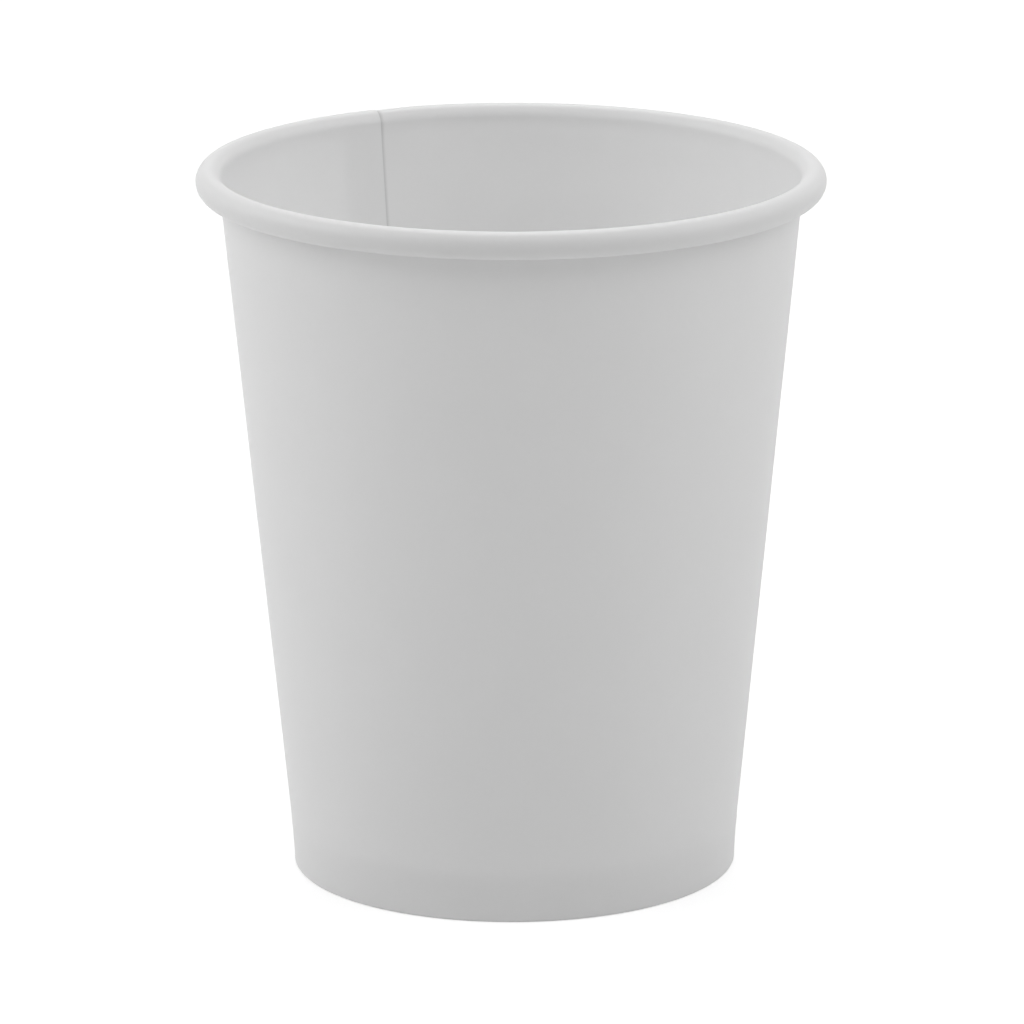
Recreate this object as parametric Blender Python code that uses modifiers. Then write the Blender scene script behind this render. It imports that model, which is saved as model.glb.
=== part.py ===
# Plain paper cup for hot drinks, single wall, about 8 oz. Metres, +Z up, origin at the centre of the foot.
#
# The cup is two pieces of coated board. The side wall is one fan-shaped blank: its straight edges lap
# and are sealed, its upper edge is rolled outwards into the rim, and its lower edge is folded in and up.
# The bottom is a disc drawn into a shallow pan upside down, whose skirt is held inside that fold.

import math

import bmesh
import bpy
from mathutils import Vector

COLLECTION_NAME = "paper_cup"

# Overall sizes, on the outside of the board
HEIGHT = 0.0916
RIM_RADIUS = 0.0400
FOOT_RADIUS = 0.02845  # where the foot's outer line meets the standing plane

# Rolled rim
BEAD_WIDTH = 0.00325
BEAD_HEIGHT = 0.0035
ROLL_TURN = 450.0  # degrees from the inside of the cup, over the top and round under itself
ROLL_GAP = 0.00012  # air between the roll's inner turn and what it tucks behind
TUCK_FROM, TUCK_TO = 240.0, 350.0  # degrees over which the roll tightens

# Foot: the wall's hem, folded up inside
HEM_FLARE = 0.00045  # how far the hem leans out between the standing plane and the disc's top face
RECESS_DEPTH = 0.0066  # standing plane to the disc's underside
FLAP_TO_DISC = 0.0014  # flap's cut edge to the disc's underside
FOLD_RADIUS = 0.0001  # inside radius of the fold

# Board
BOARD = 0.00035
DISC_BOARD = 0.0003
DISC_CORNER = 0.0008  # outside radius where the disc turns down into its skirt
HEM_GAP = 0.0001  # each side of the skirt, inside the fold

# Side seam: the two cut edges are straight and run side by side, so the lap is equally wide all the way up
SEAM_ANGLE = 122.0  # degrees from +X to the lap's middle, so 32 degrees left of the back
LAP_WIDTH = 0.0060
RAMP_WIDTH = 0.0060  # the outer ply's run back to the plain wall, beside the inner ply's cut edge
SEAM_STEP = 0.00026  # one ply of board, pressed by the seal
RIM_SEAM_SHARE = 0.35  # part of that step left in the rolled rim, which is pressed harder
SEAM_FADE = 0.0010  # run over which the step fades into the foot's fold
RIM_FADE = 0.0030  # run over which the step lessens below the rim
CUT_EDGE = 0.00006  # width round the cup that a cut edge takes up

BOARD_COLOUR = (0.80, 0.80, 0.80)
WALL_ROUGHNESS = 0.60
DISC_ROUGHNESS = 0.65

# Smoothness
ROUND_STEPS = 64  # round the bottom disc
OPEN_STEPS = 60  # round the wall outside its seam
ROLL_STEP = 18.0  # degrees
TANGENT_STEP = 0.5  # degrees either side, for the roll's direction
FOLD_STEPS = 3
RAMP_STEPS = 3
LAP_STEPS = 2
CORNER_STEPS = 4
SHARP_ANGLE = 40.0  # degrees; edges that turn more than this are shaded as corners

# Places worked out from the sizes
HEM_TOP = RECESS_DEPTH + DISC_BOARD
HEM_LEAN = math.atan2(HEM_FLARE, HEM_TOP)
HEM_ALONG = Vector((math.sin(HEM_LEAN), math.cos(HEM_LEAN)))  # up the hem, as (radius, height)
HEM_OUT = Vector((math.cos(HEM_LEAN), -math.sin(HEM_LEAN)))
FOLD_ROOM = DISC_BOARD + 2.0 * HEM_GAP  # between the hem and the flap
FOLD_HEIGHT = BOARD + FOLD_RADIUS  # height of the fold's centres
BEAD_RADIUS = RIM_RADIUS - BEAD_WIDTH / 2.0
BEAD_CENTRE = HEIGHT - BEAD_HEIGHT / 2.0
TUCK = BOARD + RIM_SEAM_SHARE * SEAM_STEP + ROLL_GAP


def smooth(share):
    share = min(max(share, 0.0), 1.0)
    return share * share * (3.0 - 2.0 * share)


def clear_scene():
    for thing in list(bpy.data.objects):
        bpy.data.objects.remove(thing, do_unlink=True)


def make_collection(name):
    collection = bpy.data.collections.new(name)
    bpy.context.scene.collection.children.link(collection)
    return collection


def make_material(name, colour, roughness):
    material = bpy.data.materials.new(name)
    material.use_nodes = True
    shader = material.node_tree.nodes["Principled BSDF"]
    shader.inputs["Base Color"].default_value = (*colour, 1.0)
    shader.inputs["Roughness"].default_value = roughness
    shader.inputs["Metallic"].default_value = 0.0
    material.diffuse_color = (*colour, 1.0)
    return material


def hem_line(across, height):
    """Point at a height on the line parallel to the hem, so far across from its outer face."""
    on_line = Vector((FOOT_RADIUS, 0.0)) + across * HEM_OUT
    return on_line + HEM_ALONG * ((height - on_line.y) / HEM_ALONG.y)


def outward(along):
    """The side of the sheet that faces out of the cup, from its direction of travel."""
    return Vector((along.y, -along.x)).normalized()


def fold_arc(across, from_angle, to_angle):
    """Quarter of the foot's fold, about a centre so far across from the hem's outer face."""
    centre = hem_line(across, FOLD_HEIGHT)
    points = []
    for step in range(FOLD_STEPS + 1):
        angle = from_angle + (to_angle - from_angle) * step / FOLD_STEPS
        out = Vector((math.cos(angle), math.sin(angle)))
        points.append((centre + FOLD_RADIUS * out, out, 0.0))
    return points


def roll_point(turn):
    """Point on the visible face of the rim's roll, after a turn in degrees."""
    tuck = TUCK * smooth((turn - TUCK_FROM) / (TUCK_TO - TUCK_FROM))
    half_width = BEAD_WIDTH / 2.0 - tuck
    half_height = BEAD_HEIGHT / 2.0 - tuck
    angle = math.radians(turn)
    return Vector((BEAD_RADIUS - half_width * math.cos(angle), BEAD_CENTRE + half_height * math.sin(angle)))


def turn_where_wall_meets_roll(start):
    """The straight wall runs from its kink to touch the roll's inner side without a corner."""
    across = (BEAD_RADIUS - start.x) / (BEAD_WIDTH / 2.0)
    below = (start.y - BEAD_CENTRE) / (BEAD_HEIGHT / 2.0)
    return math.degrees(math.atan2(below, across) + math.acos(1.0 / math.hypot(across, below)))


def wall_path():
    """The wall's sheet from the flap's cut edge to the roll's, along the face inside the cup.

    Each entry is the point as (radius, height), the direction to the outer face, and the share of the
    seam's step that is left there. The straight wall's radius at its top comes second.
    """
    flap = -BOARD - FOLD_ROOM
    flap_fade, hem_fade = (hem_line(across, FOLD_HEIGHT + SEAM_FADE) for across in (flap, -BOARD))
    path = [
        (hem_line(flap, RECESS_DEPTH - FLAP_TO_DISC), -HEM_OUT, 1.0),
        (flap_fade, -HEM_OUT, 1.0),
    ]
    path += fold_arc(flap + FOLD_RADIUS, math.pi - HEM_LEAN, 1.5 * math.pi)
    path += fold_arc(-BOARD - FOLD_RADIUS, -0.5 * math.pi, -HEM_LEAN)
    path.append((hem_fade, HEM_OUT, 1.0))

    kink = hem_line(-BOARD, HEM_TOP)
    meeting = turn_where_wall_meets_roll(kink)
    wall_along = (roll_point(meeting) - kink).normalized()
    wall_out = outward(wall_along)
    wall_top = roll_point(meeting) - wall_along * RIM_FADE
    path.append((kink, (HEM_OUT + wall_out).normalized(), 1.0))
    path.append((wall_top, wall_out, 1.0))

    steps = round((ROLL_TURN - meeting) / ROLL_STEP)
    for step in range(steps + 1):
        turn = meeting + (ROLL_TURN - meeting) * step / steps
        along = roll_point(turn + TANGENT_STEP) - roll_point(turn - TANGENT_STEP)
        path.append((roll_point(turn), outward(along), RIM_SEAM_SHARE))
    return path, wall_top.x


def seam_places():
    """Places across the seam: distance from the lap's middle, how far both faces of the sheet are
    lifted there, and what the lap adds outside."""
    edge = LAP_WIDTH / 2.0
    places = []
    for step in range(RAMP_STEPS + 1):
        share = step / RAMP_STEPS
        places.append((-edge - RAMP_WIDTH * (1.0 - share), SEAM_STEP * smooth(share), 0.0))
    for step in range(LAP_STEPS + 1):
        places.append((-edge + CUT_EDGE + (LAP_WIDTH - CUT_EDGE) * step / LAP_STEPS, 0.0, SEAM_STEP))
    places.append((edge + CUT_EDGE, 0.0, 0.0))
    return places


def station_angles(places, radius):
    """Angles where the wall has this radius: the seam's places, then even steps round the rest."""
    seam = [math.radians(SEAM_ANGLE) + distance / radius for distance, lift, lap in places]
    rest = 2.0 * math.pi - (seam[-1] - seam[0])
    return seam + [seam[-1] + rest * step / OPEN_STEPS for step in range(1, OPEN_STEPS)]


def loft_closed_sections(name, sections):
    """One skin through closed sections that stand in a ring, each with the same number of points."""
    mesh_maker = bmesh.new()
    rings = [[mesh_maker.verts.new(point) for point in section] for section in sections]
    for number, ring in enumerate(rings):
        following = rings[(number + 1) % len(rings)]
        for place in range(len(ring)):
            beyond = (place + 1) % len(ring)
            mesh_maker.faces.new((ring[place], following[place], following[beyond], ring[beyond]))
    bmesh.ops.recalc_face_normals(mesh_maker, faces=mesh_maker.faces)
    mesh = bpy.data.meshes.new(name)
    mesh_maker.to_mesh(mesh)
    mesh_maker.free()
    return mesh


def make_side_wall(collection, material):
    path, top_radius = wall_path()
    places = seam_places()
    lifts = [(lift, lap) for distance, lift, lap in places] + [(0.0, 0.0)] * (OPEN_STEPS - 1)
    angles = [station_angles(places, min(point.x, top_radius)) for point, out, share in path]
    sections = []
    for station, (lift, lap) in enumerate(lifts):
        inner = [point + out * lift * share for point, out, share in path]
        outer = [point + out * (BOARD + (lift + lap) * share) for point, out, share in path]
        turns = [row[station] for row in angles]
        outline = list(zip(inner, turns)) + list(zip(outer, turns))[::-1]
        sections.append([(p.x * math.cos(turn), p.x * math.sin(turn), p.y) for p, turn in outline])
    mesh = loft_closed_sections("side_wall", sections)
    mesh.materials.append(material)
    mesh.shade_smooth()
    mesh.set_sharp_from_angle(angle=math.radians(SHARP_ANGLE))
    wall = bpy.data.objects.new("side_wall", mesh)
    collection.objects.link(wall)
    return wall


def disc_profile():
    """Half of the disc's section, from the middle of its top face round the skirt to the middle below."""
    across = -BOARD - HEM_GAP  # the skirt's outer face, from the hem's outer face
    inner_across = across - DISC_BOARD
    skirt_foot = FOLD_HEIGHT + HEM_GAP
    centre = hem_line(across - DISC_CORNER, HEM_TOP - DISC_CORNER)
    arcs = []
    for radius in (DISC_CORNER, DISC_CORNER - DISC_BOARD):
        arc = []
        for step in range(CORNER_STEPS + 1):
            angle = math.pi / 2.0 - (math.pi / 2.0 + HEM_LEAN) * step / CORNER_STEPS
            arc.append(centre + radius * Vector((math.cos(angle), math.sin(angle))))
        arcs.append(arc)
    top_middle = Vector((0.0, HEM_TOP))
    under_middle = Vector((0.0, RECESS_DEPTH))
    skirt_end = [hem_line(across, skirt_foot), hem_line(inner_across, skirt_foot)]
    return [top_middle] + arcs[0] + skirt_end + arcs[1][::-1] + [under_middle]


def make_bottom_disc(collection, material):
    profile = disc_profile()
    mesh = bpy.data.meshes.new("bottom_disc")
    edges = [(place, place + 1) for place in range(len(profile) - 1)]
    mesh.from_pydata([(point.x, 0.0, point.y) for point in profile], edges, [])
    mesh.materials.append(material)
    disc = bpy.data.objects.new("bottom_disc", mesh)
    collection.objects.link(disc)
    turned = disc.modifiers.new("turned", "SCREW")
    turned.axis = "Z"
    turned.angle = 2.0 * math.pi
    turned.steps = ROUND_STEPS
    turned.render_steps = ROUND_STEPS
    turned.use_merge_vertices = True
    turned.merge_threshold = 0.00001
    turned.use_smooth_shade = True
    return disc


def main():
    clear_scene()
    collection = make_collection(COLLECTION_NAME)
    make_side_wall(collection, make_material("cup_board", BOARD_COLOUR, WALL_ROUGHNESS))
    make_bottom_disc(collection, make_material("bottom_board", BOARD_COLOUR, DISC_ROUGHNESS))


main()
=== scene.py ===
import math

import bpy
from mathutils import Euler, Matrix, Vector


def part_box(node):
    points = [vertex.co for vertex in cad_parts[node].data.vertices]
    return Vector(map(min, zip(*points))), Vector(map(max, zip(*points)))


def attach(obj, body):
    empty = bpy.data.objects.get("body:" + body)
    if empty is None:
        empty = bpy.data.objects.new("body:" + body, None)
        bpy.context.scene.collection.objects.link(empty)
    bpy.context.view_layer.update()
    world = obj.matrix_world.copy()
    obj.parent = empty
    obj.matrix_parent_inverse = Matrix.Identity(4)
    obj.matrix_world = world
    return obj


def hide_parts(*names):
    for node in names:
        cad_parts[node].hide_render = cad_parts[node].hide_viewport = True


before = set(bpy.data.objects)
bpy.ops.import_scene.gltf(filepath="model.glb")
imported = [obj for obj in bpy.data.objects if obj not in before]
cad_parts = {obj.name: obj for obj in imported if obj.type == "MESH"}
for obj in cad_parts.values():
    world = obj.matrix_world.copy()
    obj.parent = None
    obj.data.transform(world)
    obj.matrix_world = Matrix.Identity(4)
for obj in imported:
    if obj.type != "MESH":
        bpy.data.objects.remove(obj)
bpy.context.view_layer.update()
print("frame loaded")


# Helpers for node trees. An input given as a socket is linked, any other value is set.

def addNode(tree, kind, inputs=None, **settings):
    node = tree.nodes.new(kind)
    for name, value in settings.items():
        setattr(node, name, value)
    for key, value in (inputs or {}).items():
        if isinstance(value, bpy.types.NodeSocket):
            tree.links.new(value, node.inputs[key])
        else:
            node.inputs[key].default_value = value
    return node


def calc(tree, operation, *values):
    return addNode(tree, "ShaderNodeMath", dict(enumerate(values)), operation=operation).outputs[0]


def wholeCalc(tree, operation, first, second):
    return addNode(tree, "FunctionNodeIntegerMath", {0: first, 1: second}, operation=operation).outputs[0]


def newGroup(name, kind, inputs, outputs):
    group = bpy.data.node_groups.new(name, kind)
    for title, socketType, value in inputs:
        socket = group.interface.new_socket(name=title, in_out="INPUT", socket_type=socketType)
        if value is not None:
            socket.default_value = value
    for title, socketType in outputs:
        group.interface.new_socket(name=title, in_out="OUTPUT", socket_type=socketType)
    return group, group.nodes.new("NodeGroupInput").outputs, group.nodes.new("NodeGroupOutput").inputs


# Camera, at the place that the reference picture was taken from

cameraView = {
    "lens": 274.2,                     # mm, on a 36 mm wide sensor
    "sensor": 36.0,
    "lookAt": (-0.0001, 0.0, 0.0461),  # m, about the middle of the cup
    "distance": 1.0,
    "farEnd": 100.0,                   # m, past which nothing is seen
    "pitch": 14.83,                    # degrees down
    "roll": -0.29,                     # degrees
}


def makeCamera(view):
    data = bpy.data.cameras.new("camera")
    data.lens = view["lens"]
    data.sensor_width = view["sensor"]
    data.clip_end = view["farEnd"]
    camera = bpy.data.objects.new("camera", data)
    bpy.context.scene.collection.objects.link(camera)
    pitch = math.radians(view["pitch"])
    back = Vector((0.0, -math.cos(pitch), math.sin(pitch)))
    camera.location = Vector(view["lookAt"]) + back * view["distance"]
    turn = Euler((math.pi / 2.0 - pitch, 0.0, 0.0)).to_matrix()
    roll = Euler((0.0, 0.0, math.radians(view["roll"]))).to_matrix()
    camera.rotation_euler = (turn @ roll).to_euler()
    bpy.context.scene.camera = camera


# Room: a pale floor, six soft lamps round the cup and above it, and a white surround

room = {
    "floorHalf": 4.0,                  # m, half of the floor's side
    "floorDrop": 0.00002,              # m, keeps the floor clear of the foot's flat
    "floorTone": 0.90,
    "floorGlow": 0.62,                 # white that is added to the lit floor where it is seen
    "floorLitShare": 0.60,             # share of the lit floor that stays under that white
    "surround": 0.207,                 # light from all round
}
lamps = {                              # in m and W, each turned to the middle of the cup
    "lampFront": {"at": (0.0, -0.704, 1.369), "size": (1.4, 1.2), "power": 3.9},
    "lampBack": {"at": (0.0, 0.795, 1.317), "size": (0.9, 0.8), "power": 5.4},
    "lampLeft": {"at": (-1.195, -0.211, 0.927), "size": (1.4, 1.0), "power": 7.2},
    "lampRight": {"at": (1.195, -0.211, 0.927), "size": (1.4, 1.0), "power": 6.8},
    "lampBackLeft": {"at": (-1.307, 0.528, 0.558), "size": (1.2, 1.0), "power": 2.2},
    "lampBackRight": {"at": (1.0, 0.404, 1.087), "size": (1.2, 1.0), "power": 1.2},
}


def seenShare(tree):                   # 1 for what is seen directly, in gloss or through something
    path = addNode(tree, "ShaderNodeLightPath")
    seen = calc(tree, "MAXIMUM", path.outputs["Is Camera Ray"], path.outputs["Is Glossy Ray"])
    return calc(tree, "MAXIMUM", seen, path.outputs["Is Transmission Ray"])


def makeFloor(values):
    half = values["floorHalf"]
    drop = -values["floorDrop"]
    mesh = bpy.data.meshes.new("floor")
    corners = [(-half, -half, drop), (half, -half, drop), (half, half, drop), (-half, half, drop)]
    mesh.from_pydata(corners, [], [(0, 1, 2, 3)])
    floor = bpy.data.objects.new("floor", mesh)
    bpy.context.scene.collection.objects.link(floor)

    material = bpy.data.materials.new("paleFloor")
    material.use_nodes = True
    tree = material.node_tree
    tree.nodes.clear()
    tone = (values["floorTone"],) * 3 + (1.0,)
    seenTone = (values["floorTone"] * values["floorLitShare"],) * 3 + (1.0,)
    plain = addNode(tree, "ShaderNodeBsdfDiffuse", {"Color": tone})
    lit = addNode(tree, "ShaderNodeBsdfDiffuse", {"Color": seenTone})
    glow = addNode(tree, "ShaderNodeEmission", {"Strength": values["floorGlow"]})
    bright = addNode(tree, "ShaderNodeAddShader", {0: lit.outputs[0], 1: glow.outputs[0]})
    seen = addNode(tree, "ShaderNodeMixShader",
                   {0: seenShare(tree), 1: plain.outputs[0], 2: bright.outputs[0]})
    addNode(tree, "ShaderNodeOutputMaterial", {"Surface": seen.outputs[0]})
    mesh.materials.append(material)


def makeSurround(values):
    world = bpy.data.worlds.new("surround")
    world.use_nodes = True
    tree = world.node_tree
    tree.nodes.clear()
    light = addNode(tree, "ShaderNodeBackground", {"Strength": values["surround"]})
    white = addNode(tree, "ShaderNodeBackground", {"Strength": 1.0})
    for node in (light, white):
        node.inputs["Color"].default_value = (1.0, 1.0, 1.0, 1.0)
    seen = addNode(tree, "ShaderNodeMixShader",
                   {0: seenShare(tree), 1: light.outputs[0], 2: white.outputs[0]})
    addNode(tree, "ShaderNodeOutputWorld", {"Surface": seen.outputs[0]})
    bpy.context.scene.world = world


def makeLamps(choices, target):
    for name, choice in choices.items():
        data = bpy.data.lights.new(name, "AREA")
        data.shape = "RECTANGLE"
        data.size, data.size_y = choice["size"]
        data.energy = choice["power"]
        lamp = bpy.data.objects.new(name, data)
        bpy.context.scene.collection.objects.link(lamp)
        lamp.location = choice["at"]
        lamp.rotation_euler = (target - lamp.location).to_track_quat("-Z", "Y").to_euler()
        lamp.visible_camera = False


makeCamera(cameraView)
makeFloor(room)
makeSurround(room)
makeLamps(lamps, Vector(cameraView["lookAt"]))
bpy.context.scene.view_settings.view_transform = "Standard"
print("camera and room made")


# Paper: one grain effect for every face of the board

grainTree, grainIn, grainOut = newGroup("paperGrain", "ShaderNodeTree", [
    ("Vector", "NodeSocketVector", None),
    ("Tone", "NodeSocketColor", (0.74, 0.74, 0.74, 1.0)),
    ("Cloud size", "NodeSocketFloat", 0.009),          # m, the sheet's uneven formation
    ("Cloud amount", "NodeSocketFloat", 0.02),
    ("Fibre size", "NodeSocketFloat", 0.0006),         # m
    ("Fibre amount", "NodeSocketFloat", 0.02),
    ("Roughness", "NodeSocketFloat", 0.5),
    ("Roughness spread", "NodeSocketFloat", 0.06),
    ("Seal line and shade", "NodeSocketFloat", 0.0),                  # the seal line beside the seam's cut edges, partly painted shade, and the painted shade of the rolled rim
    ("Seal line and shade depth", "NodeSocketFloat", 0.22),
], [("Color", "NodeSocketColor"), ("Roughness", "NodeSocketFloat"), ("Height", "NodeSocketFloat")])


def fillGrain():
    tree = grainTree
    cloudScale = calc(tree, "DIVIDE", 1.0, grainIn["Cloud size"])
    fibreScale = calc(tree, "DIVIDE", 1.0, grainIn["Fibre size"])
    clouds = addNode(tree, "ShaderNodeTexNoise",
                     {"Vector": grainIn["Vector"], "Scale": cloudScale, "Detail": 3.0, "Roughness": 0.55})
    fibres = addNode(tree, "ShaderNodeTexNoise",
                     {"Vector": grainIn["Vector"], "Scale": fibreScale, "Detail": 4.0, "Roughness": 0.62,
                      "Distortion": 0.6})
    cloud = calc(tree, "SUBTRACT", clouds.outputs["Fac"], 0.5)
    fibre = calc(tree, "SUBTRACT", fibres.outputs["Fac"], 0.5)
    cloudTone = calc(tree, "MULTIPLY", cloud, grainIn["Cloud amount"])
    fibreTone = calc(tree, "MULTIPLY", fibre, grainIn["Fibre amount"])
    plain = calc(tree, "ADD", calc(tree, "ADD", cloudTone, fibreTone), 1.0)
    gain = calc(tree, "SUBTRACT", plain, calc(tree, "MULTIPLY", grainIn["Seal line and shade"], grainIn["Seal line and shade depth"]))
    scaled = addNode(tree, "ShaderNodeVectorMath", {0: grainIn["Tone"], "Scale": gain}, operation="SCALE")
    tree.links.new(scaled.outputs[0], grainOut["Color"])
    spread = calc(tree, "MULTIPLY", fibre, grainIn["Roughness spread"])
    tree.links.new(calc(tree, "ADD", grainIn["Roughness"], spread), grainOut["Roughness"])
    tree.links.new(fibres.outputs["Fac"], grainOut["Height"])


fillGrain()

paperFaces = {                         # "through" is the share of light that enters the board
    "outerBoard": {"tone": 0.80, "roughness": 0.52, "spread": 0.06, "bump": 0.000006, "through": 0.80},
    "coatedBoard": {"tone": 0.88, "roughness": 0.44, "spread": 0.05, "bump": 0.000004, "through": 0.80},
    "cutBoard": {"tone": 0.74, "roughness": 0.85, "spread": 0.10, "bump": 0.00002, "through": 0.80},
    "bottomBoard": {"tone": 0.88, "roughness": 0.44, "spread": 0.05, "bump": 0.000005, "through": 0.80},
}
paperDepth = 0.0004                    # m that light runs inside the board before it turns


def makePaper(name, values):
    material = bpy.data.materials.new(name)
    material.use_nodes = True
    tree = material.node_tree
    shader = tree.nodes["Principled BSDF"]
    shader.inputs["Subsurface Weight"].default_value = values["through"]
    shader.inputs["Subsurface Radius"].default_value = (1.0, 1.0, 1.0)
    shader.inputs["Subsurface Scale"].default_value = paperDepth
    coordinates = addNode(tree, "ShaderNodeTexCoord")
    # darkens the board by the seal line, which is partly painted shade, and by the painted shade of the
    # rolled rim
    sealAndShadeAttribute = addNode(tree, "ShaderNodeAttribute", attribute_name="boardMark")
    grain = addNode(tree, "ShaderNodeGroup", node_tree=grainTree)
    tree.links.new(coordinates.outputs["Object"], grain.inputs["Vector"])
    tree.links.new(sealAndShadeAttribute.outputs["Fac"], grain.inputs["Seal line and shade"])
    grain.inputs["Tone"].default_value = (values["tone"],) * 3 + (1.0,)
    grain.inputs["Roughness"].default_value = values["roughness"]
    grain.inputs["Roughness spread"].default_value = values["spread"]
    tree.links.new(grain.outputs["Color"], shader.inputs["Base Color"])
    tree.links.new(grain.outputs["Roughness"], shader.inputs["Roughness"])
    bump = addNode(tree, "ShaderNodeBump",
                   {"Height": grain.outputs["Height"], "Strength": 1.0, "Distance": values["bump"]})
    tree.links.new(bump.outputs[0], shader.inputs["Normal"])
    return material


paper = {name: makePaper(name, values) for name, values in paperFaces.items()}
print("paper materials made")


# How a piece of board is described: a section is a closed run of places, each with its values, and a
# ring is the run of stations round the cup. One tree sweeps the section round the ring.

def ease(share):
    share = min(max(share, 0.0), 1.0)
    return share * share * (3.0 - 2.0 * share)


def place(point, out, **values):       # "out" is the way that steps, ribs and waves push the board
    plain = {"share": 0.0, "outer": 0.0, "ribs": 0.0, "loose": 0.0, "reach": 1.0,
             "marked": 0.0, "shade": 0.0}
    return {"point": point, "out": out, **plain, **values}


def station(**values):                 # "rest" is a share of the full turn, the other places are in m
    plain = {"rest": 0.0, "across": 0.0, "lift": 0.0, "lap": 0.0,
             "innerCut": 0.0, "outerCut": 0.0, "innerMark": 0.0, "outerMark": 0.0}
    return {**plain, **values}


def pointsWithValues(name, points, rows):
    mesh = bpy.data.meshes.new(name)
    mesh.from_pydata(points, [], [])
    for title in rows[0]:
        values = mesh.attributes.new(title, "FLOAT", "POINT")
        values.data.foreach_set("value", [row[title] for row in rows])
    carrier = bpy.data.objects.new(name, mesh)
    bpy.context.scene.collection.objects.link(carrier)
    return carrier


def sectionObject(name, places):
    rows = []
    for item in places:
        row = {title: value for title, value in item.items() if title not in ("point", "out")}
        rows.append({**row, "outX": item["out"].x, "outZ": item["out"].y})
    return pointsWithValues(name, [(item["point"].x, 0.0, item["point"].y) for item in places], rows)


def ringObject(name, stations):        # its points lie in a row, because only their values are read
    return pointsWithValues(name, [(0.001 * number, 0.0, 0.0) for number in range(len(stations))], stations)


def sampled(tree, geometry, title, index, dataType="FLOAT"):
    found = addNode(tree, "GeometryNodeSampleIndex", data_type=dataType)
    tree.links.new(geometry, found.inputs["Geometry"])
    tree.links.new(named(tree, title, dataType), found.inputs["Value"])
    tree.links.new(index, found.inputs["Index"])
    return found.outputs["Value"]


def named(tree, title, dataType="FLOAT"):
    node = addNode(tree, "GeometryNodeInputNamedAttribute", {"Name": title}, data_type=dataType)
    return node.outputs["Attribute"]


def pair(tree, operation, first, second):
    return addNode(tree, "FunctionNodeBooleanMath", {0: first, 1: second}, operation=operation).outputs[0]


def compared(tree, operation, value, limit):
    return addNode(tree, "FunctionNodeCompare", {"A": value, "B": limit}, operation=operation).outputs[0]


joinDistance = 0.0000005               # m, within which points of the swept grid are joined
sharpAngle = 35.0                      # degrees, from which an edge is shaded as sharp


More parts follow.
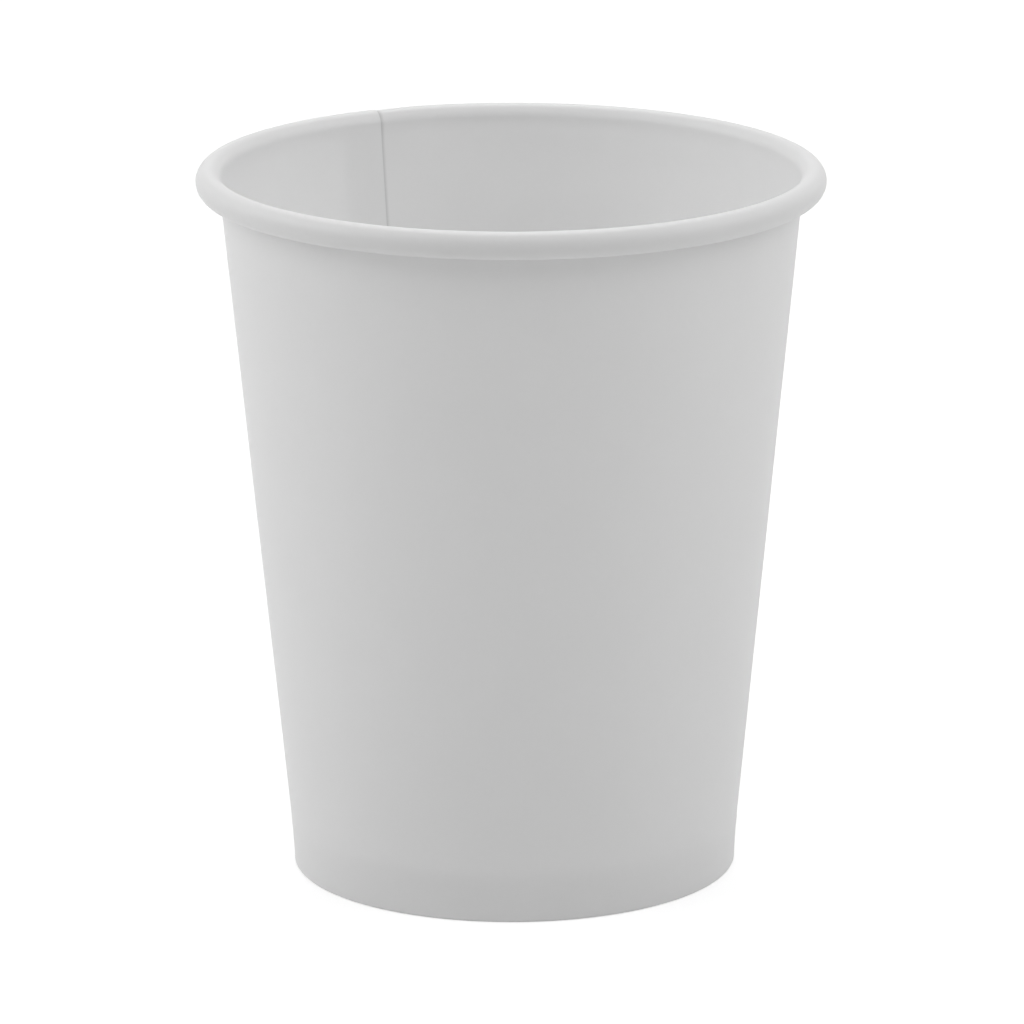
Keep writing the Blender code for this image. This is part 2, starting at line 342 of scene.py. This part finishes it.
def makeSweepTree():
    tree, given, result = newGroup("boardRoundCup", "GeometryNodeTree", [
        ("Section", "NodeSocketGeometry", None),
        ("Ring", "NodeSocketObject", None),
        ("Closed", "NodeSocketInt", 1),                    # 0 where the section starts and ends on the axis
        ("Seam angle", "NodeSocketFloat", 0.0),            # degrees
        ("Rib count", "NodeSocketInt", 96),
        ("Rib depth", "NodeSocketFloat", 0.0001),
        ("Wave height", "NodeSocketFloat", 0.00005),
        ("Wave size", "NodeSocketFloat", 0.035),
        ("Wave girth", "NodeSocketFloat", 0.04),           # radius at which the waves are read
        ("Lean", "NodeSocketFloat", 0.0),                  # degrees that the cup's top is out of level
        ("Lean turn", "NodeSocketFloat", 180.0),           # degrees, the side that is highest
        ("Full height", "NodeSocketFloat", 0.09),          # at which the lean is full
        ("Inside", "NodeSocketMaterial", None),
        ("Outside", "NodeSocketMaterial", None),
        ("Cut edge", "NodeSocketMaterial", None),
    ], [("Board", "NodeSocketGeometry")])
    ring = addNode(tree, "GeometryNodeObjectInfo", {"Object": given["Ring"]}).outputs["Geometry"]
    section = given["Section"]
    places = addNode(tree, "GeometryNodeAttributeDomainSize", {"Geometry": section}).outputs["Point Count"]
    stations = addNode(tree, "GeometryNodeAttributeDomainSize", {"Geometry": ring}).outputs["Point Count"]
    rows = wholeCalc(tree, "ADD", places, given["Closed"])
    columns = wholeCalc(tree, "ADD", stations, 1)
    grid = addNode(tree, "GeometryNodeMeshGrid", {"Vertices X": columns, "Vertices Y": rows})
    index = addNode(tree, "GeometryNodeInputIndex").outputs[0]
    stationIndex = wholeCalc(tree, "MODULO", wholeCalc(tree, "DIVIDE_FLOOR", index, rows), stations)
    placeIndex = wholeCalc(tree, "MODULO", wholeCalc(tree, "MODULO", index, rows), places)

    def onSection(title, dataType="FLOAT"):
        return sampled(tree, section, title, placeIndex, dataType)

    def onRing(title):
        return sampled(tree, ring, title, stationIndex)

    point = addNode(tree, "ShaderNodeSeparateXYZ", {0: onSection("position", "FLOAT_VECTOR")}).outputs
    seamTurn = calc(tree, "RADIANS", given["Seam angle"])
    restTurn = calc(tree, "MULTIPLY_ADD", onRing("rest"), 2.0 * math.pi, seamTurn)
    turn = calc(tree, "ADD", restTurn, calc(tree, "DIVIDE", onRing("across"), onSection("reach")))
    spokeX = calc(tree, "COSINE", turn)
    spokeY = calc(tree, "SINE", turn)

    lap = calc(tree, "MULTIPLY", onSection("outer"), onRing("lap"))
    seamPush = calc(tree, "MULTIPLY", onSection("share"), calc(tree, "ADD", onRing("lift"), lap))
    ribTurn = calc(tree, "MULTIPLY", turn, given["Rib count"])
    ribWave = calc(tree, "MULTIPLY_ADD", calc(tree, "COSINE", ribTurn), 0.5, 0.5)
    ribPush = calc(tree, "MULTIPLY", calc(tree, "MULTIPLY", ribWave, given["Rib depth"]), onSection("ribs"))
    aroundX = calc(tree, "MULTIPLY", spokeX, given["Wave girth"])
    aroundY = calc(tree, "MULTIPLY", spokeY, given["Wave girth"])
    around = addNode(tree, "ShaderNodeCombineXYZ", {0: aroundX, 1: aroundY, 2: point[2]}).outputs[0]
    waveScale = calc(tree, "DIVIDE", 1.0, given["Wave size"])
    noise = addNode(tree, "ShaderNodeTexNoise", {"Vector": around, "Scale": waveScale, "Detail": 1.0})
    wave = calc(tree, "MULTIPLY_ADD", noise.outputs["Fac"], 2.0, -1.0)
    waveHere = calc(tree, "MULTIPLY", wave, given["Wave height"])
    wavePush = calc(tree, "MULTIPLY", waveHere, onSection("loose"))
    push = calc(tree, "ADD", calc(tree, "ADD", seamPush, ribPush), wavePush)

    radius = calc(tree, "MULTIPLY_ADD", onSection("outX"), push, point[0])
    level = calc(tree, "MULTIPLY_ADD", onSection("outZ"), push, point[2])
    fromHigh = calc(tree, "COSINE", calc(tree, "SUBTRACT", turn, calc(tree, "RADIANS", given["Lean turn"])))
    slope = calc(tree, "TANGENT", calc(tree, "RADIANS", given["Lean"]))
    rise = calc(tree, "MULTIPLY", calc(tree, "MULTIPLY", radius, fromHigh), slope)
    height = calc(tree, "MULTIPLY_ADD", calc(tree, "DIVIDE", level, given["Full height"]), rise, level)
    placedX = calc(tree, "MULTIPLY", radius, spokeX)
    placedY = calc(tree, "MULTIPLY", radius, spokeY)
    position = addNode(tree, "ShaderNodeCombineXYZ", {0: placedX, 1: placedY, 2: height}).outputs[0]

    # Seal line beside the cut edges, partly painted shade at the foot of each step, plus the rolled rim's
    # painted shade
    innerMark = onRing("innerMark")
    toOuter = calc(tree, "SUBTRACT", onRing("outerMark"), innerMark)
    sealAndShadeHere = calc(tree, "MULTIPLY_ADD", toOuter, onSection("outer"), innerMark)
    sealAndPaintedShade = calc(tree, "MULTIPLY_ADD", sealAndShadeHere, onSection("marked"), onSection("shade"))
    stored = {"outer": onSection("outer"), "innerCut": onRing("innerCut"), "outerCut": onRing("outerCut"),
              "boardMark": sealAndPaintedShade}
    swept = grid.outputs["Mesh"]
    for title, value in stored.items():
        store = addNode(tree, "GeometryNodeStoreNamedAttribute", {"Name": title}, data_type="FLOAT")
        tree.links.new(swept, store.inputs["Geometry"])
        tree.links.new(value, store.inputs["Value"])
        swept = store.outputs["Geometry"]
    placed = addNode(tree, "GeometryNodeSetPosition", {"Geometry": swept, "Position": position}).outputs[0]
    merged = addNode(tree, "GeometryNodeMergeByDistance", {"Geometry": placed, "Distance": joinDistance})
    turned = addNode(tree, "GeometryNodeFlipFaces", {"Mesh": merged.outputs[0]})
    smooth = addNode(tree, "GeometryNodeSetShadeSmooth", {"Geometry": turned.outputs[0]})
    real = addNode(tree, "GeometryNodeRealizeInstances", {"Geometry": smooth.outputs[0]})

    # A face has the mean of its corners' values: 1 or 0 where they agree, and 0.5 where it crosses over
    outer = named(tree, "outer")
    onOuter = compared(tree, "GREATER_THAN", outer, 0.75)
    onInner = compared(tree, "LESS_THAN", outer, 0.25)
    atInnerCut = compared(tree, "GREATER_THAN", named(tree, "innerCut"), 0.75)
    atOuterCut = compared(tree, "GREATER_THAN", named(tree, "outerCut"), 0.75)
    innerEdge = pair(tree, "AND", atInnerCut, onInner)
    outerEdge = pair(tree, "AND", atOuterCut, onOuter)
    sideEdges = pair(tree, "OR", innerEdge, outerEdge)
    endEdges = pair(tree, "NOR", onInner, onOuter)
    cutEdges = pair(tree, "OR", sideEdges, endEdges)
    inside = addNode(tree, "GeometryNodeSetMaterial",
                     {"Geometry": real.outputs[0], "Material": given["Inside"]}).outputs[0]
    outside = addNode(tree, "GeometryNodeSetMaterial",
                      {"Geometry": inside, "Selection": onOuter, "Material": given["Outside"]}).outputs[0]
    finished = addNode(tree, "GeometryNodeSetMaterial",
                       {"Geometry": outside, "Selection": cutEdges, "Material": given["Cut edge"]})
    tree.links.new(finished.outputs[0], result["Board"])
    return tree


def keepUsedMaterials(mesh):           # the sweep leaves an empty slot in front of its materials
    used = sorted({face.material_index for face in mesh.polygons})
    materials = [mesh.materials[number] for number in used]
    indices = [used.index(face.material_index) for face in mesh.polygons]
    mesh.materials.clear()
    for material in materials:
        mesh.materials.append(material)
    mesh.polygons.foreach_set("material_index", indices)


def sweepPiece(name, places, stations, choices):
    section = sectionObject(name + "Section", places)
    ring = ringObject(name + "Ring", stations)
    sweep = section.modifiers.new("sweep", "NODES")
    sweep.node_group = sweepTree
    identifiers = {item.name: item.identifier for item in sweepTree.interface.items_tree
                   if item.item_type == "SOCKET" and item.in_out == "INPUT"}
    for title, value in {"Ring": ring, **choices}.items():
        sweep[identifiers[title]] = value
    evaluated = section.evaluated_get(bpy.context.evaluated_depsgraph_get())
    mesh = bpy.data.meshes.new_from_object(evaluated)
    section.modifiers.remove(sweep)
    mesh.name = name
    keepUsedMaterials(mesh)
    for title in ("outer", "innerCut", "outerCut"):        # they have only chosen the materials
        mesh.attributes.remove(mesh.attributes[title])
    mesh.set_sharp_from_angle(angle=math.radians(sharpAngle))
    piece = bpy.data.objects.new(name, mesh)
    bpy.context.scene.collection.objects.link(piece)
    bpy.data.objects.remove(section)
    bpy.data.objects.remove(ring)
    mesh.calc_loop_triangles()
    print(name, "made,", len(mesh.loop_triangles), "triangles")
    return piece


sweepTree = makeSweepTree()


# Side wall: one blank of board, lapped at the side seam, its upper edge rolled outwards into the rim
# and its lower edge folded in and up as a flap inside the foot

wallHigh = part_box("side_wall")[1]      # a box is its lowest and its highest corner
discLow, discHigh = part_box("bottom_disc")
rimRadius = wallHigh.x
cupHeight = wallHigh.z
hemTop = discHigh.z                    # above the hem the wall leans further out

wallChoices = {
    "board": 0.00035,                  # m, as all lengths
    "beadWidth": 0.00325,
    "beadHeight": 0.0035,
    "rollTurn": 450.0,                 # degrees that the roll has turned at its cut edge
    "rollGap": 0.00012,
    "tuckFrom": 240.0,                 # degrees from which the roll goes in under its first turn
    "tuckTo": 350.0,
    "footRadius": 0.02845,
    "hemFlare": 0.00045,               # how far the hem leans out over its height
    "flapTop": 0.0052,
    "foldRadius": 0.0001,
    "skirtRoom": 0.0005,               # between the wall and its flap
    "pressDepth": 0.00004,             # how much thinner the pressed hem is
    "pressFrom": 0.0008,               # above the fold, where the press is full
    "pressTop": 0.0048,
    "pressRun": 0.0006,                # over which it ends at its top
    "seamAngle": 122.2,                # degrees from +X to the middle of the lap
    "lapWidth": 0.0060,
    "rampWidth": 0.0060,               # on which the outer ply climbs over the inner one
    "seamStep": 0.00028,
    "rimShare": 0.35,                  # part of the step that is left in the rolled rim
    "foldFade": 0.0010,                # run over which the step is lost at the fold
    "rimFade": 0.0030,                 # run over which the step is pressed flatter below the rim
    "cutWidth": 0.00004,               # how far round the cup a cut edge slopes
    "sealAndShadeWidth": 0.00065,              # the darker line beside each cut edge: painted shade at the foot of its step, and the seal's own slight darkening
    "sealAndShadeEnd": 120.0,                  # degrees of the roll at which that line has faded
    "sealAndShadeFade": 70.0,                  # degrees before that in which it fades
    "rollShade": 0.50,                 # painted shade that darkens the tight roll all round, as a share of that line's darkness
    "rollShadeFrom": 10.0,             # degrees of the roll
    "rollShadeRun": 50.0,
    "rampSteps": 12,
    "lapSteps": 14,
    "sealAndShadeSteps": 6,
    "ribs": 96,                        # of the knurled flap
    "ribSteps": 6,
    "ribDepth": 0.00009,
    "ribsFrom": 0.0012,
    "ribsTo": 0.0046,
    "ribFade": 0.0004,
    "waveHeight": 0.00005,             # the board bows a little where it is free
    "waveSize": 0.035,
    "wavesFrom": 0.010,                # heights between which it does
    "wavesFull": 0.024,
    "wavesFadeFrom": 0.070,
    "wavesTo": 0.084,
    "lean": 0.23,                      # degrees that the rim is out of level, as on a real cup
    "leanTurn": 180.0,                 # degrees from +X to the side where it is highest
}
# Steps along each face of the board: numbers of them, but degrees in the roll, where "roll" holds up to
# "seenTo" and "tucked" beyond it
innerFaceSteps = {"flap": 2, "fold": 3, "hem": 2, "wall": 18, "roll": 7.5, "seenTo": 290.0, "tucked": 20.0}
outerFaceSteps = {"flap": 8, "fold": 7, "hem": 9, "wall": 18, "roll": 20.0, "seenTo": 450.0, "tucked": 20.0}

board = wallChoices["board"]
hemLean = math.atan2(wallChoices["hemFlare"], hemTop)
hemAlong = Vector((math.sin(hemLean), math.cos(hemLean)))
hemOut = Vector((math.cos(hemLean), -math.sin(hemLean)))
foldHeight = board + wallChoices["foldRadius"]
beadHalf = Vector((wallChoices["beadWidth"], wallChoices["beadHeight"])) / 2.0
beadCentre = Vector((rimRadius, cupHeight)) - beadHalf


def hemPoint(across, height):          # "across" is the distance out from the hem's outer face
    onLine = Vector((wallChoices["footRadius"], 0.0)) + across * hemOut
    return onLine + hemAlong * ((height - onLine.y) / hemAlong.y)


def rollPoint(turn):                   # 0 is the inner side, 90 the top, 180 the outer side
    depth = board + wallChoices["rimShare"] * wallChoices["seamStep"] + wallChoices["rollGap"]
    tucked = ease((turn - wallChoices["tuckFrom"]) / (wallChoices["tuckTo"] - wallChoices["tuckFrom"]))
    across = -math.cos(math.radians(turn)) * (beadHalf.x - depth * tucked)
    above = math.sin(math.radians(turn)) * (beadHalf.y - depth * tucked)
    return beadCentre + Vector((across, above))


def meetingTurn(start):                # where the straight wall touches the roll's inner side
    def outForEachUp(turn):
        run = rollPoint(turn) - start
        return run.x / run.y
    tries = [0.1 * number for number in range(900)]        # degrees, up to the top of the roll
    return min(tries, key=outForEachUp)


def looseShare(height):
    rise = ease((height - wallChoices["wavesFrom"]) / (wallChoices["wavesFull"] - wallChoices["wavesFrom"]))
    fade = (height - wallChoices["wavesFadeFrom"]) / (wallChoices["wavesTo"] - wallChoices["wavesFadeFrom"])
    return rise * (1.0 - ease(fade))


def ribShare(height):
    rise = ease((height - wallChoices["ribsFrom"]) / wallChoices["ribFade"])
    return rise * ease((wallChoices["ribsTo"] - height) / wallChoices["ribFade"])


def pressShare(height):
    fade = ease((height - wallChoices["pressTop"]) / wallChoices["pressRun"] + 0.5)
    return (1.0 - fade) * ease((height - foldHeight) / wallChoices["pressFrom"])


def foldArc(across, fromAngle, toAngle, steps):
    centre = hemPoint(across, foldHeight)
    arc = []
    for step in range(steps + 1):
        angle = fromAngle + (toAngle - fromAngle) * step / steps
        out = Vector((math.cos(angle), math.sin(angle)))
        arc.append((centre + wallChoices["foldRadius"] * out, out, 0.0))
    return arc


def sheetPath(steps):                  # from the flap's cut edge to the roll's end, on the inside face
    flap = -board - wallChoices["skirtRoom"]
    fadeTop = foldHeight + wallChoices["foldFade"]
    path = []                          # of (point, way out, share of the seam's step)
    for step in range(steps["flap"] + 1):
        height = wallChoices["flapTop"] + (fadeTop - wallChoices["flapTop"]) * step / steps["flap"]
        path.append((hemPoint(flap, height), -hemOut, 1.0))
    flapRun = len(path)
    path += foldArc(flap + wallChoices["foldRadius"], math.pi - hemLean, 1.5 * math.pi, steps["fold"])
    path += foldArc(-board - wallChoices["foldRadius"], -0.5 * math.pi, -hemLean, steps["fold"])
    for step in range(steps["hem"]):
        height = fadeTop + (hemTop - fadeTop) * step / steps["hem"]
        path.append((hemPoint(-board, height), hemOut, 1.0))

    kink = hemPoint(-board, hemTop)
    turn = meetingTurn(kink)
    wallAlong = (rollPoint(turn) - kink).normalized()
    wallOut = Vector((wallAlong.y, -wallAlong.x))
    path.append((kink, (hemOut + wallOut).normalized(), 1.0))
    wallRun = wallAlong * ((rollPoint(turn) - kink).length - wallChoices["rimFade"])
    for step in range(1, steps["wall"] + 1):
        path.append((kink + wallRun * step / steps["wall"], wallOut, 1.0))
    topRadius = (kink + wallRun).x     # above it the lap keeps its angle and doesn't fan out

    # at each place, the share of the seal line (partly painted shade) and the painted shade of the roll
    marked = [1.0] * len(path)
    shade = [0.0] * len(path)
    nearEnd = wallChoices["rollTurn"] - 1.0                # so that the last step is a degree or more
    while turn < nearEnd:
        path.append((rollPoint(turn), None, wallChoices["rimShare"]))
        marked.append(ease((wallChoices["sealAndShadeEnd"] - turn) / wallChoices["sealAndShadeFade"]))
        # the roll's painted shade grows in over its first turn
        rolled = ease((turn - wallChoices["rollShadeFrom"]) / wallChoices["rollShadeRun"])
        shade.append(wallChoices["rollShade"] * rolled)
        turn += steps["roll"] if turn < steps["seenTo"] else steps["tucked"]
    path.append((rollPoint(wallChoices["rollTurn"]), None, wallChoices["rimShare"]))
    marked.append(0.0)
    shade.append(wallChoices["rollShade"])

    places = []
    for number, (point, out, share) in enumerate(path):
        if out is None:                # on the roll the way out is square to the run of the sheet
            before = path[number - 1][0]
            after = path[min(number + 1, len(path) - 1)][0]
            along = (after - before).normalized()
            out = Vector((along.y, -along.x))
        places.append(place(point, out, share=share, reach=min(point.x, topRadius), marked=marked[number],
                            shade=shade[number], loose=looseShare(point.y)))
    return places, flapRun


def wallSection():
    innerPlaces = sheetPath(innerFaceSteps)[0]
    outerPlaces, flapRun = sheetPath(outerFaceSteps)       # the flap's places come first
    for number, item in enumerate(outerPlaces):
        onInnerFace = item["point"]
        press = 0.0
        if number < flapRun:
            item["ribs"] = ribShare(onInnerFace.y)
        elif onInnerFace.y < hemTop:
            press = wallChoices["pressDepth"] * pressShare(onInnerFace.y)
        item["point"] = onInnerFace + item["out"] * (board - press)
        item["outer"] = 1.0
    return innerPlaces + outerPlaces[::-1]


def lappedRing():                      # the seam's places, then even steps round the rest of the cup
    edge = wallChoices["lapWidth"] / 2.0
    step = wallChoices["seamStep"]
    ramp = wallChoices["rampWidth"]
    width = wallChoices["sealAndShadeWidth"]
    cut = wallChoices["cutWidth"]
    low = -edge - ramp
    high = edge + cut + width
    stations = []
    for number in range(wallChoices["rampSteps"]):         # the ramp, up to the line of painted shade and seal
        run = (ramp - width) * number / wallChoices["rampSteps"]
        stations.append(station(across=low + run, lift=step * ease(run / ramp)))
    for number in range(wallChoices["sealAndShadeSteps"]):         # the last of the ramp, where the line of painted shade and seal darkens
        share = number / wallChoices["sealAndShadeSteps"]
        run = ramp - width * (1.0 - share)
        stations.append(station(across=low + run, lift=step * ease(run / ramp), innerMark=ease(share)))
    stations.append(station(across=-edge, lift=step, innerCut=1.0, innerMark=1.0))
    stations.append(station(across=-edge + cut, lap=step, innerCut=1.0))
    for number in range(1, wallChoices["lapSteps"]):       # the lap, two plies thick
        run = (2.0 * edge - cut) * number / wallChoices["lapSteps"]
        stations.append(station(across=-edge + cut + run, lap=step))
    stations.append(station(across=edge, lap=step, outerCut=1.0))
    stations.append(station(across=edge + cut, outerCut=1.0, outerMark=1.0))
    for number in range(1, wallChoices["sealAndShadeSteps"]):      # beyond the lap, where the line of painted shade and seal fades
        share = number / wallChoices["sealAndShadeSteps"]
        stations.append(station(across=edge + cut + width * share, outerMark=1.0 - ease(share)))
    restSteps = wallChoices["ribs"] * wallChoices["ribSteps"]
    for number in range(restSteps):                        # the single board round the rest of the cup
        share = number / restSteps
        stations.append(station(rest=share, across=high + (low - high) * share))
    return stations


def makeSideWall():
    return sweepPiece("sideWall", wallSection(), lappedRing(), {
        "Closed": 1,
        "Seam angle": wallChoices["seamAngle"],
        "Rib count": wallChoices["ribs"],
        "Rib depth": wallChoices["ribDepth"],
        "Wave height": wallChoices["waveHeight"],
        "Wave size": wallChoices["waveSize"],
        "Wave girth": rimRadius,
        "Lean": wallChoices["lean"],
        "Lean turn": wallChoices["leanTurn"],
        "Full height": cupHeight,
        "Inside": paper["coatedBoard"],
        "Outside": paper["outerBoard"],
        "Cut edge": paper["cutBoard"],
    })


# Bottom: a disc of thinner board whose edge is drawn down as a skirt, between the wall and its flap

discChoices = {
    "board": 0.0003,
    "corner": 0.0008,                  # radius of the upper face's edge
    "gap": 0.0001,                     # stands for the pressed joint between skirt and wall
    "puckers": 96,                     # small folds that drawing the edge down leaves
    "puckerDepth": 0.00003,
    "puckerRun": 0.0030,               # how far in from the corner they reach
    "puckersFrom": 0.0052,             # height on the skirt
    "puckersFull": 0.0062,
    "flatSteps": 14,
    "cornerSteps": 8,
    "skirtSteps": 3,
    "roundSteps": 480,
}


def discFace(radius, centre, skirtAcross):
    face = []
    for step in range(discChoices["flatSteps"]):
        share = ease(step / discChoices["flatSteps"]) ** 0.5       # wide steps first, fine ones at the edge
        face.append((Vector((centre.x * share, centre.y + radius)), Vector((0.0, 1.0))))
    for step in range(discChoices["cornerSteps"] + 1):
        angle = math.pi / 2.0 - (math.pi / 2.0 + hemLean) * step / discChoices["cornerSteps"]
        out = Vector((math.cos(angle), math.sin(angle)))
        face.append((centre + radius * out, out))
    for step in range(1, discChoices["skirtSteps"] + 1):
        height = centre.y + (discLow.z - centre.y) * step / discChoices["skirtSteps"]
        face.append((hemPoint(skirtAcross, height), hemOut))
    return face


def discSection():
    corner = discChoices["corner"]
    skirt = -board - discChoices["gap"]
    centre = hemPoint(skirt - corner, hemTop - corner)
    upper = discFace(corner, centre, skirt)
    under = discFace(corner - discChoices["board"], centre, skirt - discChoices["board"])
    places = []
    for point, out in upper + under[::-1]:
        near = ease((point.x - centre.x) / discChoices["puckerRun"] + 1.0)
        rise = discChoices["puckersFull"] - discChoices["puckersFrom"]
        places.append(place(point, out, ribs=near * ease((point.y - discChoices["puckersFrom"]) / rise)))
    return places


def makeBottomDisc():
    steps = discChoices["roundSteps"]
    stations = [station(rest=number / steps) for number in range(steps)]
    return sweepPiece("bottomDisc", discSection(), stations, {
        "Closed": 0,
        "Rib count": discChoices["puckers"],
        "Rib depth": discChoices["puckerDepth"],
        "Wave height": 0.0,
        "Inside": paper["bottomBoard"],
        "Outside": paper["bottomBoard"],
        "Cut edge": paper["bottomBoard"],
    })


sideWall = makeSideWall()
bottomDisc = makeBottomDisc()

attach(sideWall, "root")
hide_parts("side_wall")
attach(bottomDisc, "root")
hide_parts("bottom_disc")
